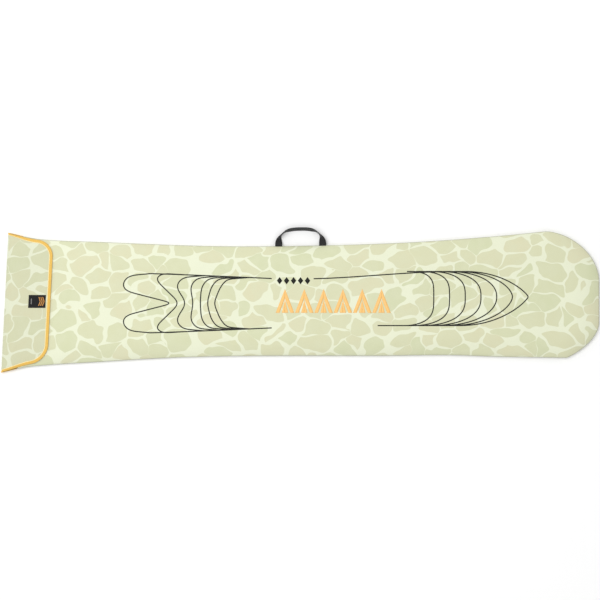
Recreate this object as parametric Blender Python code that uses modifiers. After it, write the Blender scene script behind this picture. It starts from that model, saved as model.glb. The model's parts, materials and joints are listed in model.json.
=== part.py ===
"""A snowboard bag: a long, lightly padded sleeve that lies on its back, with its mouth at -X.

The back panel runs on past the mouth, folds over along the fold line and covers the mouth as a flap, which
hook-and-loop tape holds shut. A webbing handle is sewn into the seam of the +Y edge.
X runs along the bag towards the nose, Y across it towards the handle, and Z up through its thickness.
"""

import math

import bmesh
import bpy
import numpy as np
from mathutils import Matrix, Vector

MM = 0.001

# The outline, seen from above. Each edge is a smooth curve through a few knots, and ends in the nose.
FOLD_UPPER = Vector((-0.818, 0.188))
FOLD_LOWER = Vector((-0.838, -0.203))
UPPER_KNOTS = [
    (-0.818, 0.188), (-0.73, 0.1695), (-0.56, 0.1615), (-0.22, 0.1497),
    (0.11, 0.1532), (0.34, 0.1622), (0.56, 0.1786), (0.69, 0.1915),
]
LOWER_KNOTS = [
    (-0.838, -0.203), (-0.76, -0.186), (-0.56, -0.1722), (-0.34, -0.160),
    (-0.11, -0.1555), (0.22, -0.1552), (0.42, -0.1535), (0.56, -0.158), (0.748, -0.161),
]
NOSE_X = 0.838
UPPER_NOSE = {"start": 0.690, "shoulder": 0.1915, "end": 0.050, "power": 1.7}
LOWER_NOSE = {"start": 0.748, "shoulder": 0.1610, "end": 0.060, "power": 1.1}

# The layers of the padded panels, and the gap that each keeps to the next one.
CLOTH = 0.8 * MM
FOAM = 3.0 * MM
LINING = 0.5 * MM
SEAM_GAP = 0.3 * MM
GAP = 0.4 * MM
PADDING_GAP = 0.8 * MM
FOAM_MARGIN = 18 * MM
LINING_MARGIN = 12 * MM

# The sewn edge is a narrow flat lip at SEAM_Z. Inside it the panels stand off by their crown and their puff.
SEAM_Z = 9 * MM
LIP = 2 * MM
FRONT_EDGE_Z = SEAM_Z + SEAM_GAP / 2 + CLOTH
BACK_EDGE_Z = SEAM_Z - SEAM_GAP / 2 - CLOTH
CROWN = 20 * MM
MOUTH_CROWN = 13 * MM
CROWN_FULL_X = -0.50
PUFF_POWER = 0.6
FRONT_PUFF = 68 * MM
BACK_PUFF = 26 * MM
FOLD_PUFF = 42 * MM

# The mouth and its flap. Lengths of the flap run along X from the fold line.
MOUTH = 46 * MM
MOUTH_TO_SIDE = 13 * MM
FLAP_LENGTH = 129 * MM
FLAP_RISE = 4.5 * MM
FLAP_INSET = 1.5 * MM
FLAP_TAPER = 5 * MM
UPPER_CORNER = 45 * MM
LOWER_CORNER = 50 * MM
LAYER_INSET = 1.4 * MM
HINGE_GAP = 0.3 * MM
LINING_START = 6 * MM
BINDING_START = 7.5 * MM

# Tapes, bindings and the label.
BINDING_WIDTH = 10 * MM
BINDING_WALL = 0.6 * MM
BINDING_CLEARANCE = 0.6 * MM
BEND = 0.4 * MM
FOLD_BINDING_LEG = 1.2 * MM
TRIM_GAP = 0.3 * MM
TAPE_WIDTH = 25 * MM
TAPE_LENGTH = 240 * MM
TAPE_THICK = 0.9 * MM
TAPE_TO_EDGE = 13 * MM
LABEL_LENGTH = 48 * MM
LABEL_WIDTH = 36 * MM
LABEL_THICK = 0.6 * MM
LABEL_CENTRE = (-0.7353, -0.004)
SEAM_TAPE_IN = 6.5 * MM
SEAM_TAPE_WIDTH = 4.5 * MM
SEAM_TAPE_THICK = 1.0 * MM
SEAM_TAPE_RISE = 1.1 * MM

# The handle: one length of webbing, face on at its ends and turned nearly edge on in the middle.
HANDLE_LEFT_X = -0.0596
HANDLE_RIGHT_X = 0.0635
HANDLE_REACH = 46.2 * MM
HANDLE_POWER = 2.8
HANDLE_STEPS = 32
WEBBING_WIDTH = 20 * MM
WEBBING_THICK = 1.8 * MM
HANDLE_Z = SEAM_Z - 0.1 * MM
HANDLE_LIFT = 1.9 * MM
HANDLE_TURN = math.radians(70)
TURN_LENGTH = 36 * MM
HINGE_OUT = 1.8 * MM
TAB_IN = 4 * MM
TAB_LENGTH = 9.5 * MM

# Where a panel's rows and columns lie, counted in from the edge, so that its rounded edge is well followed.
EDGE_STEPS = [step * MM for step in (0, 2, 3.5, 7, 13, 22, 35, 52, 70)]
FOLD_STEPS = [step * MM for step in (0, 1.5, 5, 11, 18, 26, 46, 72, 95, 118, 148, 190, 245)]
FLAP_STEPS = [0.0, BINDING_WIDTH - LAYER_INSET] + [step * MM for step in (18, 32, 48, 68)]
BODY_START = FOLD_LOWER.x + 310 * MM
BODY_ROWS = 11
LEAN_LENGTH = 0.2
BISECTIONS = 20


# ---------------------------------------------------------------------------------------------------- outline

def smooth(knots, x):
    """The height at x of a smooth curve through the knots."""
    last = len(knots) - 2
    i = min(max(sum(x >= knot[0] for knot in knots) - 1, 0), last)
    (x0, y0), (x1, y1) = knots[i], knots[i + 1]

    def slope(k):
        before, after = knots[max(k - 1, 0)], knots[min(k + 1, last + 1)]
        return (after[1] - before[1]) / (after[0] - before[0])

    span = x1 - x0
    t = (x - x0) / span
    rise = (2 * t**3 - 3 * t**2 + 1) * y0 + (3 * t**2 - 2 * t**3) * y1
    lean = (t**3 - 2 * t**2 + t) * slope(i) + (t**3 - t**2) * slope(i + 1)
    return rise + span * lean


def nose_half(nose, x):
    """How far a nose curve still stands off the middle at x."""
    t = min(max((x - nose["start"]) / (NOSE_X - nose["start"]), 0.0), 1.0)
    return nose["end"] + (nose["shoulder"] - nose["end"]) * math.sqrt(1 - t ** nose["power"])


def upper_edge(x):
    return smooth(UPPER_KNOTS, x) if x < UPPER_NOSE["start"] else nose_half(UPPER_NOSE, x)


def lower_edge(x):
    return smooth(LOWER_KNOTS, x) if x < LOWER_NOSE["start"] else -nose_half(LOWER_NOSE, x)


def fold_x(y):
    """The fold line's x at y."""
    share = (y - FOLD_LOWER.y) / (FOLD_UPPER.y - FOLD_LOWER.y)
    return FOLD_LOWER.x + share * (FOLD_UPPER.x - FOLD_LOWER.x)


def seam_points(start, count=160):
    """The sewn edge, from this distance past the fold round the nose and back."""
    shares = [math.sin(math.pi / 2 * i / count) for i in range(count + 1)]
    upper_start, lower_start = FOLD_UPPER.x + start, FOLD_LOWER.x + start
    upper = [upper_start + share * (NOSE_X - upper_start) for share in shares]
    lower = [lower_start + share * (NOSE_X - lower_start) for share in shares]
    there = [Vector((x, upper_edge(x))) for x in upper]
    back = [Vector((x, lower_edge(x))) for x in reversed(lower)]
    return there + back


SEAM = np.array([tuple(point) for point in seam_points(0.0)])
SEAM_SIDES = SEAM[1:] - SEAM[:-1]


def edge_distance(x, y):
    """How far a point lies from the sewn edge."""
    away = np.array((x, y)) - SEAM[:-1]
    share = np.clip((away * SEAM_SIDES).sum(axis=1) / (SEAM_SIDES**2).sum(axis=1), 0.0, 1.0)
    return float(np.linalg.norm(away - share[:, None] * SEAM_SIDES, axis=1).min())


def inset_edge(x, edge, margin):
    """The y at x that lies inside an edge by margin, measured to the nearest part of the seam."""
    inner, outer = 0.0, edge(x)
    for _ in range(BISECTIONS if margin else 0):
        middle = (inner + outer) / 2
        if edge_distance(x, middle) >= margin:
            inner = middle
        else:
            outer = middle
    return outer


# --------------------------------------------------------------------------------------------------- surfaces

def puff(distance, width):
    """From 0 at an edge to 1 at this width from it and beyond, with a full, round start."""
    t = min(max(distance / width, 0.0), 1.0)
    return (1 - (1 - t) ** 2) ** PUFF_POWER


def crown(x):
    """How far the front's middle stands above the seam: less at the mouth than along the body."""
    mouth_x = FOLD_UPPER.x + MOUTH
    t = min(max((x - mouth_x) / (CROWN_FULL_X - mouth_x), 0.0), 1.0)
    return MOUTH_CROWN + (CROWN - MOUTH_CROWN) * t * t * (3 - 2 * t)


def front_surface(x, y):
    """The height of the front panel's outer face."""
    return FRONT_EDGE_Z + crown(x) * puff(edge_distance(x, y) - LIP, FRONT_PUFF)


def back_surface(x, y):
    """The height of the back panel's outer face, which lies flat but for its rounded edges."""
    inside = min(edge_distance(x, y) - LIP, x - fold_x(y))
    return BACK_EDGE_Z * (1 - puff(inside, BACK_PUFF))


def flap_surface(x, y):
    """The height of the shut flap's outer face, from the fold line to its place over the front panel."""
    start = SEAM_Z + HINGE_GAP
    return start + (front_surface(x, y) + FLAP_RISE - start) * puff(x - fold_x(y), FOLD_PUFF)


# ------------------------------------------------------------------------------------------------- plan grids

def leaned(x, y):
    """The x at y of the row that starts at x, which runs parallel to the fold line near the mouth."""
    lean = min(max((CROWN_FULL_X - x) / LEAN_LENGTH, 0.0), 1.0)
    return x + lean * (fold_x(y) - FOLD_LOWER.x)


def spread(low, high, steps):
    """Values from low to high: these steps in from either end, and the middle."""
    return [low + step for step in steps] + [(low + high) / 2] + [high - step for step in reversed(steps)]


def body_row(x, margin):
    """A row of (x, y) across the bag, with its points close together near the two edges."""
    low = inset_edge(leaned(x, lower_edge(x)), lower_edge, margin)
    high = inset_edge(leaned(x, upper_edge(x)), upper_edge, margin)
    steps = [step - margin for step in EDGE_STEPS if step > margin]
    shrink = min(1.0, 0.48 * (high - low) / steps[-1])
    steps = [0.0] + [step * shrink for step in steps]
    return [(leaned(x, y), y) for y in spread(low, high, steps)]


def body_plan(margin, start):
    """Rows over the bag's body. start is the distance from the fold line to the first row."""
    body_end = NOSE_X - 2.4 * EDGE_STEPS[-1]
    fold = [FOLD_LOWER.x + step for step in FOLD_STEPS]
    body = [BODY_START + (body_end - BODY_START) * i / BODY_ROWS for i in range(BODY_ROWS + 1)]
    nose = [NOSE_X - 1.7 * EDGE_STEPS[-1], NOSE_X - 1.3 * EDGE_STEPS[-1]]
    nose += [NOSE_X - step for step in reversed(EDGE_STEPS)]
    first, last = FOLD_LOWER.x + start, NOSE_X - margin * 1.002
    between = [x for x in fold + body + nose if first + 1 * MM < x < last - 1 * MM]
    return [body_row(x, margin) for x in [first] + between + [last]]


def flap_side(e, upper, margin):
    """The y of the flap's side at a distance e from the fold line, inset by margin."""
    radius = (UPPER_CORNER if upper else LOWER_CORNER) - margin
    into_corner = max(e - (FLAP_LENGTH - margin - radius), 0.0)
    inset = FLAP_INSET + margin + radius - math.sqrt(max(radius**2 - into_corner**2, 0.0))
    if upper:
        return upper_edge(FOLD_UPPER.x + e) - inset
    taper = FLAP_TAPER * min(e / (FLAP_LENGTH - radius), 1.0) ** 2
    return lower_edge(FOLD_LOWER.x + e) + taper + inset


def flap_stations(start, margin):
    """How far each row of the flap is from the fold line."""
    radius = UPPER_CORNER - margin
    straight = FLAP_LENGTH - margin - radius
    near_fold = [e * MM for e in (1.5, 4, 8, 14, 22, 32, 42, 56, 70) if e * MM > start + 0.4 * MM]
    arc = [straight + radius * math.sin(math.pi / 2 * i / 6) for i in range(1, 7)]
    return [start] + near_fold + [straight] + arc


def flap_plan(start, margin):
    rows = []
    for e in flap_stations(start, margin):
        low, high = flap_side(e, False, margin), flap_side(e, True, margin)
        rows.append([(fold_x(y) + e, y) for y in spread(low, high, FLAP_STEPS)])
    return rows


def strip_plan(start, width, low, high, columns=8):
    """A strip along the fold line: rows from start to start + width, between two values of y."""
    ys = [low + (high - low) * i / columns for i in range(columns + 1)]
    return [[(fold_x(y) + e, y) for y in ys] for e in (start, start + width / 2, start + width)]


# ---------------------------------------------------------------------------------------------------- helpers

def new_material(name, colour, roughness, metallic=0.0):
    material = bpy.data.materials.new(name)
    material.use_nodes = True
    shader = material.node_tree.nodes["Principled BSDF"]
    shader.inputs["Base Color"].default_value = (*colour, 1.0)
    shader.inputs["Roughness"].default_value = roughness
    shader.inputs["Metallic"].default_value = metallic
    return material


def new_object(name, data, material, pivot=None):
    """Data in the bag's own frame becomes an object, which hangs from the empty pivot if it moves."""
    piece = bpy.data.objects.new(name, data)
    data.materials.append(material)
    if pivot:
        data.transform(Matrix.Translation(-pivot.location))
        piece.parent = pivot
    bpy.data.collections["snowboard_bag"].objects.link(piece)
    return piece


def new_pivot(name, place):
    """An empty on the axis of a joint."""
    pivot = bpy.data.objects.new(name, None)
    pivot.location = place
    bpy.data.collections["snowboard_bag"].objects.link(pivot)
    return pivot


def solidify(piece, thickness, offset=-1.0):
    solid = piece.modifiers.new("thickness", "SOLIDIFY")
    solid.thickness = thickness
    solid.offset = offset
    return solid


def grid_mesh(name, rows):
    """A grid primitive whose points are moved to the rows of 3-D points given."""
    last_row, last_column = len(rows) - 1, len(rows[0]) - 1
    shape = bmesh.new()
    bmesh.ops.create_grid(shape, x_segments=last_row, y_segments=last_column, size=0.5)
    for vertex in shape.verts:
        i = round((vertex.co.x + 0.5) * last_row)
        j = round((vertex.co.y + 0.5) * last_column)
        vertex.co = rows[i][j]
    mesh = bpy.data.meshes.new(name)
    shape.to_mesh(mesh)
    shape.free()
    return mesh


def panel(name, plan, height, thickness, material, faces_down=False, pivot=None):
    """A layer of cloth, foam or tape, with its outer face at height(x, y)."""
    rows = [[Vector((x, y, height(x, y))) for x, y in row] for row in plan]
    if faces_down:
        rows = [row[::-1] for row in rows]
    piece = new_object(name, grid_mesh(name, rows), material, pivot)
    solidify(piece, thickness)
    piece.data.shade_smooth()
    return piece


def inward(path, i):
    """The direction in plan that points to the right of a path at its point i."""
    along = path[min(i + 1, len(path) - 1)] - path[max(i - 1, 0)]
    return Vector((along.y, -along.x)).normalized()


def binding(name, path, section, height, material, pivot=None):
    """A tape folded round the edge that path follows. section is its outer face, from the top leg's end to
    the bottom leg's, as (distance in from the path, distance above height)."""
    rows = []
    for i, point in enumerate(path):
        places = [(point + into * inward(path, i), above) for into, above in section]
        rows.append([Vector((place.x, place.y, height(place.x, place.y) + above)) for place, above in places])
    piece = new_object(name, grid_mesh(name, rows), material, pivot)
    solidify(piece, BINDING_WALL).use_even_offset = True
    return piece


def folded_tape(low, high):
    """The section of a tape folded round layers that lie between low and high, with its bend sloped off."""
    top, bottom = high + BINDING_WALL, low - BINDING_WALL
    return [
        (BINDING_WIDTH, top), (LAYER_INSET, top), (0.0, top - BEND),
        (0.0, bottom + BEND), (LAYER_INSET, bottom), (BINDING_WIDTH, bottom),
    ]


# ----------------------------------------------------------------------------------------------------- pieces

def back_panel(cloth, foam, lining):
    """The back: printed cloth outside, foam, and a lining that also covers the stretch past the mouth."""
    panel("back_shell", body_plan(0.0, 0.0), back_surface, CLOTH, cloth, faces_down=True)
    foam_height = CLOTH + PADDING_GAP
    panel(
        "back_foam", body_plan(FOAM_MARGIN, MOUTH + 6 * MM),
        lambda x, y: back_surface(x, y) + foam_height, FOAM, foam, faces_down=True,
    )
    lining_height = foam_height + FOAM + PADDING_GAP
    panel(
        "back_lining", body_plan(LINING_MARGIN, 18 * MM),
        lambda x, y: back_surface(x, y) + lining_height, LINING, lining, faces_down=True,
    )


def front_panel(cloth, foam, lining):
    """The front: the same three layers, from the mouth to the nose."""
    panel("front_shell", body_plan(0.0, MOUTH), front_surface, CLOTH, cloth)
    foam_drop = CLOTH + PADDING_GAP
    panel(
        "front_foam", body_plan(FOAM_MARGIN, MOUTH + 12 * MM),
        lambda x, y: front_surface(x, y) - foam_drop, FOAM, foam,
    )
    lining_drop = foam_drop + FOAM + PADDING_GAP
    panel(
        "front_lining", body_plan(LINING_MARGIN, MOUTH + 12 * MM),
        lambda x, y: front_surface(x, y) - lining_drop, LINING, lining,
    )


def mouth_edge(tape):
    """The binding of the front panel's open edge, folded round its shell just clear of the side seams."""
    path = [Vector(point) for point in body_row(FOLD_LOWER.x + MOUTH - LAYER_INSET, MOUTH_TO_SIDE)]
    section = folded_tape(-CLOTH - TRIM_GAP, TRIM_GAP)
    binding("mouth_binding", path, section, front_surface, tape)


def side_seam(tape):
    """The tape over the raw edges inside the seam, from near the mouth round the nose and back."""
    outer = seam_points(MOUTH + 16 * MM, count=40)
    near = [point + SEAM_TAPE_IN * inward(outer, i) for i, point in enumerate(outer)]
    far = [point + (SEAM_TAPE_IN + SEAM_TAPE_WIDTH) * inward(outer, i) for i, point in enumerate(outer)]
    outline = near + far[::-1]
    curve = bpy.data.curves.new("seam_tape", "CURVE")
    curve.dimensions = "2D"
    curve.fill_mode = "BOTH"
    curve.extrude = SEAM_TAPE_THICK / 2
    spline = curve.splines.new("POLY")
    spline.points.add(len(outline) - 1)
    for point, place in zip(spline.points, outline):
        point.co = (place.x, place.y, 0.0, 1.0)
    spline.use_cyclic_u = True
    piece = new_object("seam_tape", curve, tape)
    piece.location.z = SEAM_Z + SEAM_TAPE_RISE + SEAM_TAPE_THICK / 2


def flap(cloth, lining, tape, hook, label):
    """The flap, shut: its shell and lining, the folded tape round its edge, the hook tape and the label."""
    middle = (FOLD_UPPER + FOLD_LOWER) / 2
    pivot = new_pivot("flap_fold", (middle.x, middle.y, SEAM_Z))
    panel("flap_shell", flap_plan(HINGE_GAP, LAYER_INSET), flap_surface, CLOTH, cloth, pivot=pivot)
    lining_drop = CLOTH + GAP
    panel(
        "flap_lining", flap_plan(LINING_START, LAYER_INSET),
        lambda x, y: flap_surface(x, y) - lining_drop, LINING, lining, pivot=pivot,
    )
    stations = flap_stations(BINDING_START, 0.0)
    upper, lower = [
        [Vector((fold_x(flap_side(e, is_upper, 0.0)) + e, flap_side(e, is_upper, 0.0))) for e in stations]
        for is_upper in (True, False)
    ]
    end = [upper[-1].lerp(lower[-1], i / 8) for i in range(1, 8)]
    stack = CLOTH + GAP + LINING
    section = folded_tape(-stack - BINDING_CLEARANCE, BINDING_CLEARANCE)
    binding("flap_binding", upper + end + lower[::-1], section, flap_surface, tape, pivot)

    hook_start = FLAP_LENGTH - TAPE_TO_EDGE - TAPE_WIDTH
    hook_drop = stack + GAP
    plan = strip_plan(hook_start, TAPE_WIDTH, -TAPE_LENGTH / 2, TAPE_LENGTH / 2)
    panel("hook_tape", plan, lambda x, y: flap_surface(x, y) - hook_drop, TAPE_THICK, hook, pivot=pivot)

    label_start = LABEL_CENTRE[0] - LABEL_LENGTH / 2 - fold_x(LABEL_CENTRE[1])
    low = LABEL_CENTRE[1] - LABEL_WIDTH / 2
    plan = strip_plan(label_start, LABEL_LENGTH, low, low + LABEL_WIDTH, columns=2)
    label_top = TRIM_GAP + LABEL_THICK
    panel("flap_label", plan, lambda x, y: flap_surface(x, y) + label_top, LABEL_THICK, label, pivot=pivot)


def loop_tape(loop):
    """The soft half of the closure, on the front panel under the hook tape."""
    start = FLAP_LENGTH - TAPE_TO_EDGE - TAPE_WIDTH
    plan = strip_plan(start, TAPE_WIDTH, -TAPE_LENGTH / 2, TAPE_LENGTH / 2)
    top = TRIM_GAP + TAPE_THICK
    panel("loop_tape", plan, lambda x, y: front_surface(x, y) + top, TAPE_THICK, loop)


def fold_bindings(tape):
    """The two short stretches of the flap's binding that stay on the back panel, between mouth and fold."""
    top, bottom = TRIM_GAP + BINDING_WALL, -CLOTH - TRIM_GAP - BINDING_WALL
    outer = -TRIM_GAP - BINDING_WALL
    section = [(FOLD_BINDING_LEG, top), (outer, top), (outer, bottom), (FOLD_BINDING_LEG, bottom)]
    stations = [e * MM for e in (7, 14, 24, 34, 43)]
    upper = [Vector((FOLD_UPPER.x + e, upper_edge(FOLD_UPPER.x + e))) for e in stations]
    lower = [Vector((FOLD_LOWER.x + e, lower_edge(FOLD_LOWER.x + e))) for e in reversed(stations)]
    for name, path in (("fold_binding_upper", upper), ("fold_binding_lower", lower)):
        binding(name, path, section, lambda x, y: SEAM_Z - SEAM_GAP / 2, tape)


def handle_root(x):
    return Vector((x, upper_edge(x) + HINGE_OUT, HANDLE_Z))


def handle_path(left, right):
    """The middle line of the handle: a rounded arch from one root to the other."""
    half, middle = (right - left) / 2, (left + right) / 2
    out = Vector((-half.y, half.x, 0)).normalized()
    power = 2 / HANDLE_POWER
    path = []
    for i in range(HANDLE_STEPS + 1):
        angle = math.pi * i / HANDLE_STEPS
        reach = -math.copysign(abs(math.cos(angle)) ** power, math.cos(angle))
        rise = max(math.sin(angle), 0.0) ** power
        path.append(middle + reach * half + rise * (HANDLE_REACH * out + Vector((0, 0, HANDLE_LIFT))))
    return path


def handle(webbing):
    """The webbing loop, turned nearly edge on in the middle, and its ends, which are sewn into the seam."""
    left, right = handle_root(HANDLE_LEFT_X), handle_root(HANDLE_RIGHT_X)
    pivot = new_pivot("handle_swing", (left + right) / 2)
    path = handle_path(left, right)
    out = Vector((left.y - right.y, right.x - left.x, 0)).normalized()
    walked = [0.0]
    for a, b in zip(path, path[1:]):
        walked.append(walked[-1] + (b - a).length)
    rows = []
    for i, point in enumerate(path):
        forward = path[min(i + 1, HANDLE_STEPS)] - path[max(i - 1, 0)]
        if i in (0, HANDLE_STEPS):
            forward = out if i == 0 else -out
        t = min(min(walked[i], walked[-1] - walked[i]) / TURN_LENGTH, 1.0)
        turn = HANDLE_TURN * t * t * (3 - 2 * t)
        level = Vector((forward.y, -forward.x, 0)).normalized()
        width = math.cos(turn) * level - math.sin(turn) * Vector((0, 0, 1))
        rows.append([point + side * WEBBING_WIDTH / 2 * width for side in (-1, 0, 1)])
    loop = new_object("handle_webbing", grid_mesh("handle_webbing", rows), webbing, pivot)
    solidify(loop, WEBBING_THICK, offset=0.0)
    loop.data.shade_smooth()

    for name, root in (("handle_tab_left", left), ("handle_tab_right", right)):
        shape = bmesh.new()
        bmesh.ops.create_cube(shape, size=1.0)
        bmesh.ops.scale(shape, verts=shape.verts, vec=(WEBBING_WIDTH, TAB_LENGTH, WEBBING_THICK))
        mesh = bpy.data.meshes.new(name)
        shape.to_mesh(mesh)
        shape.free()
        tab = new_object(name, mesh, webbing)
        tab.location = root - Vector((0, HINGE_OUT + TAB_IN + TAB_LENGTH / 2, 0))


def main():
    for old in list(bpy.data.objects):
        bpy.data.objects.remove(old)
    collection = bpy.data.collections.new("snowboard_bag")
    bpy.context.scene.collection.children.link(collection)

    cloth = new_material("printed_cloth", (0.79, 0.80, 0.56), 0.75)
    lining = new_material("lining", (0.25, 0.26, 0.24), 0.8)
    foam = new_material("foam", (0.85, 0.85, 0.82), 0.95)
    orange = new_material("orange_binding", (0.80, 0.50, 0.11), 0.7)
    black_tape = new_material("black_tape", (0.02, 0.02, 0.022), 0.8)
    webbing = new_material("black_webbing", (0.015, 0.015, 0.018), 0.65)
    label = new_material("woven_label", (0.03, 0.03, 0.035), 0.6)

    back_panel(cloth, foam, lining)
    front_panel(cloth, foam, lining)
    mouth_edge(orange)
    side_seam(black_tape)
    loop_tape(black_tape)
    fold_bindings(orange)
    flap(cloth, lining, orange, black_tape, label)
    handle(webbing)


main()
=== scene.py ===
import json
import math

import bpy
import numpy as np
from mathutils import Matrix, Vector
from mathutils.bvhtree import BVHTree


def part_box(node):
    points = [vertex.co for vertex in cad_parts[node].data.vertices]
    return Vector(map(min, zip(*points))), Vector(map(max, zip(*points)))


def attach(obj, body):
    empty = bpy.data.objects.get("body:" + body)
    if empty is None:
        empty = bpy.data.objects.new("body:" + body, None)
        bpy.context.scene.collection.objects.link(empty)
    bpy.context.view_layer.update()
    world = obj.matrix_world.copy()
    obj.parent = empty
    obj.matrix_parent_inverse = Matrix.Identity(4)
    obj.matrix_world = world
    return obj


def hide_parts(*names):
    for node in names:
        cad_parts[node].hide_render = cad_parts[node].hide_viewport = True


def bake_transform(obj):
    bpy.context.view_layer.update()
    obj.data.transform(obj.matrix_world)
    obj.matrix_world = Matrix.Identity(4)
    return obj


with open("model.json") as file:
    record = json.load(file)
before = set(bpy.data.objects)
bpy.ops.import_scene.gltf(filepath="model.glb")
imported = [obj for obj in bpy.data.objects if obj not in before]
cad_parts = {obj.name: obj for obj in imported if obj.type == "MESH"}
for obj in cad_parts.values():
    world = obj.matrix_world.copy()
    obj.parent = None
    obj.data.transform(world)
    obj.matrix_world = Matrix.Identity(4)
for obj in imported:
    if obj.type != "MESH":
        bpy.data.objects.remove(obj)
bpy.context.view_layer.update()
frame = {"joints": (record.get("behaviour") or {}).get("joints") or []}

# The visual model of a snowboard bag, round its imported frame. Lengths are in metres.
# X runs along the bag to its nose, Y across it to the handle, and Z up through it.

MM = 0.001

# The outline of the CAD model, which its boxes can't tell: knots of its two edges, and its nose.
NOSE_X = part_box("back_shell")[1].x
FOLD_UPPER = (-0.818, 0.188)
FOLD_LOWER = (-0.838, -0.203)
UPPER_KNOTS = [
    (-0.818, 0.188), (-0.73, 0.1695), (-0.56, 0.1615), (-0.22, 0.1497),
    (0.11, 0.1532), (0.34, 0.1622), (0.56, 0.1786), (0.69, 0.1915),
]
LOWER_KNOTS = [
    (-0.838, -0.203), (-0.76, -0.186), (-0.56, -0.1722), (-0.34, -0.160),
    (-0.11, -0.1555), (0.22, -0.1552), (0.42, -0.1535), (0.56, -0.158), (0.748, -0.161),
]
UPPER_NOSE = {"start": 0.690, "shoulder": 0.1915, "end": 0.050, "power": 1.7}
LOWER_NOSE = {"start": 0.748, "shoulder": 0.1610, "end": 0.060, "power": 1.1}

# The surfaces of the CAD model: a seam at SEAM_Z, and panels that stand off it by a crown and a puff.
JOINTS = {joint["name"]: joint for joint in frame["joints"]}
FOLD_JOINT, SWING_JOINT = JOINTS["flap_fold"], JOINTS["handle_swing"]
SEAM_Z = 9 * MM
TOP_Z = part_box("front_shell")[1].z
CLOTH = 0.8 * MM
FRONT_EDGE_Z = SEAM_Z + 0.95 * MM
CROWN = TOP_Z - FRONT_EDGE_Z
MOUTH_CROWN = 13 * MM
CROWN_FULL_X = -0.50
LIP = 2 * MM
PUFF_POWER = 0.6
FRONT_PUFF = 68 * MM
BACK_PUFF = 26 * MM
FOLD_PUFF = 42 * MM
LEAN_LENGTH = 0.2
MOUTH = 46 * MM
FLAP_LENGTH = 129 * MM
FLAP_RISE = 4.5 * MM
FLAP_DROOP = 1.2 * MM
FLAP_INSET = 1.5 * MM
FLAP_TAPER = 5 * MM
UPPER_CORNER = 45 * MM
LOWER_CORNER = 50 * MM

# What the fine meshes add: where the sheets meet the seam, and how their rows and columns are spread.
FRONT_RIM_Z = SEAM_Z + 0.15 * MM
BACK_RIM_Z = SEAM_Z - 0.25 * MM
BLEND_LOW_Z = SEAM_Z - 0.05 * MM
COLUMNS = 77
ROW = 7 * MM
NOSE_ROWS = 72 * MM
ON_FOLD = 4 * MM
LINING = 0.5 * MM
LINING_DEPTH = 1.2 * MM
FOAM_DEPTH = 5.4 * MM


# ---- outline

def smooth(knots, x):
    """The height at each x of a smooth curve through the knots."""
    along, across = np.array(knots).T
    last = len(knots) - 1
    k = np.arange(last + 1)
    before, after = np.maximum(k - 1, 0), np.minimum(k + 1, last)
    slope = (across[after] - across[before]) / (along[after] - along[before])
    i = np.clip(np.searchsorted(along, x, side="right") - 1, 0, last - 1)
    span = along[i + 1] - along[i]
    t = (x - along[i]) / span
    rise = (2 * t**3 - 3 * t**2 + 1) * across[i] + (3 * t**2 - 2 * t**3) * across[i + 1]
    lean = (t**3 - 2 * t**2 + t) * slope[i] + (t**3 - t**2) * slope[i + 1]
    return rise + span * lean


def eased(value, start, end):
    """From 0 at start to 1 at end, smoothly."""
    t = np.clip((value - start) / (end - start), 0.0, 1.0)
    return t * t * (3 - 2 * t)


def nose_half(nose, x):
    t = np.clip((x - nose["start"]) / (NOSE_X - nose["start"]), 0.0, 1.0)
    return nose["end"] + (nose["shoulder"] - nose["end"]) * np.sqrt(1 - t ** nose["power"])


def upper_edge(x):
    return np.where(x < UPPER_NOSE["start"], smooth(UPPER_KNOTS, x), nose_half(UPPER_NOSE, x))


def lower_edge(x):
    return np.where(x < LOWER_NOSE["start"], smooth(LOWER_KNOTS, x), -nose_half(LOWER_NOSE, x))


def fold_x(y):
    """The fold line's x at y."""
    share = (y - FOLD_LOWER[1]) / (FOLD_UPPER[1] - FOLD_LOWER[1])
    return FOLD_LOWER[0] + share * (FOLD_UPPER[0] - FOLD_LOWER[0])


def seam_points(start, count=260):
    """The sewn edge, from this distance past the fold round the nose and back, as an array of (x, y)."""
    shares = np.sin(np.pi / 2 * np.linspace(0, 1, count + 1))
    sides = []
    for fold, edge in ((FOLD_UPPER, upper_edge), (FOLD_LOWER, lower_edge)):
        x = fold[0] + start + shares * (NOSE_X - fold[0] - start)
        sides.append(np.column_stack([x, edge(x)]))
    return np.vstack([sides[0], sides[1][::-1]])


def unit(vectors):
    return vectors / np.linalg.norm(vectors, axis=-1, keepdims=True)


def walked(path):
    """The length of a path up to each of its points."""
    return np.concatenate([[0.0], np.cumsum(np.linalg.norm(np.diff(path, axis=0), axis=1))])


def resampled(path, spacing):
    """Points evenly spaced along a path, about this far apart."""
    so_far = walked(path)
    at = np.linspace(0, so_far[-1], max(int(round(so_far[-1] / spacing)), 2) + 1)
    return np.column_stack([np.interp(at, so_far, path[:, k]) for k in range(path.shape[1])])


SEAM = seam_points(0.0)
SEAM_SIDES = np.diff(SEAM, axis=0)
SEAM_LENGTHS = np.linalg.norm(SEAM_SIDES, axis=1)
SEAM_WALKED = walked(SEAM)


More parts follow.
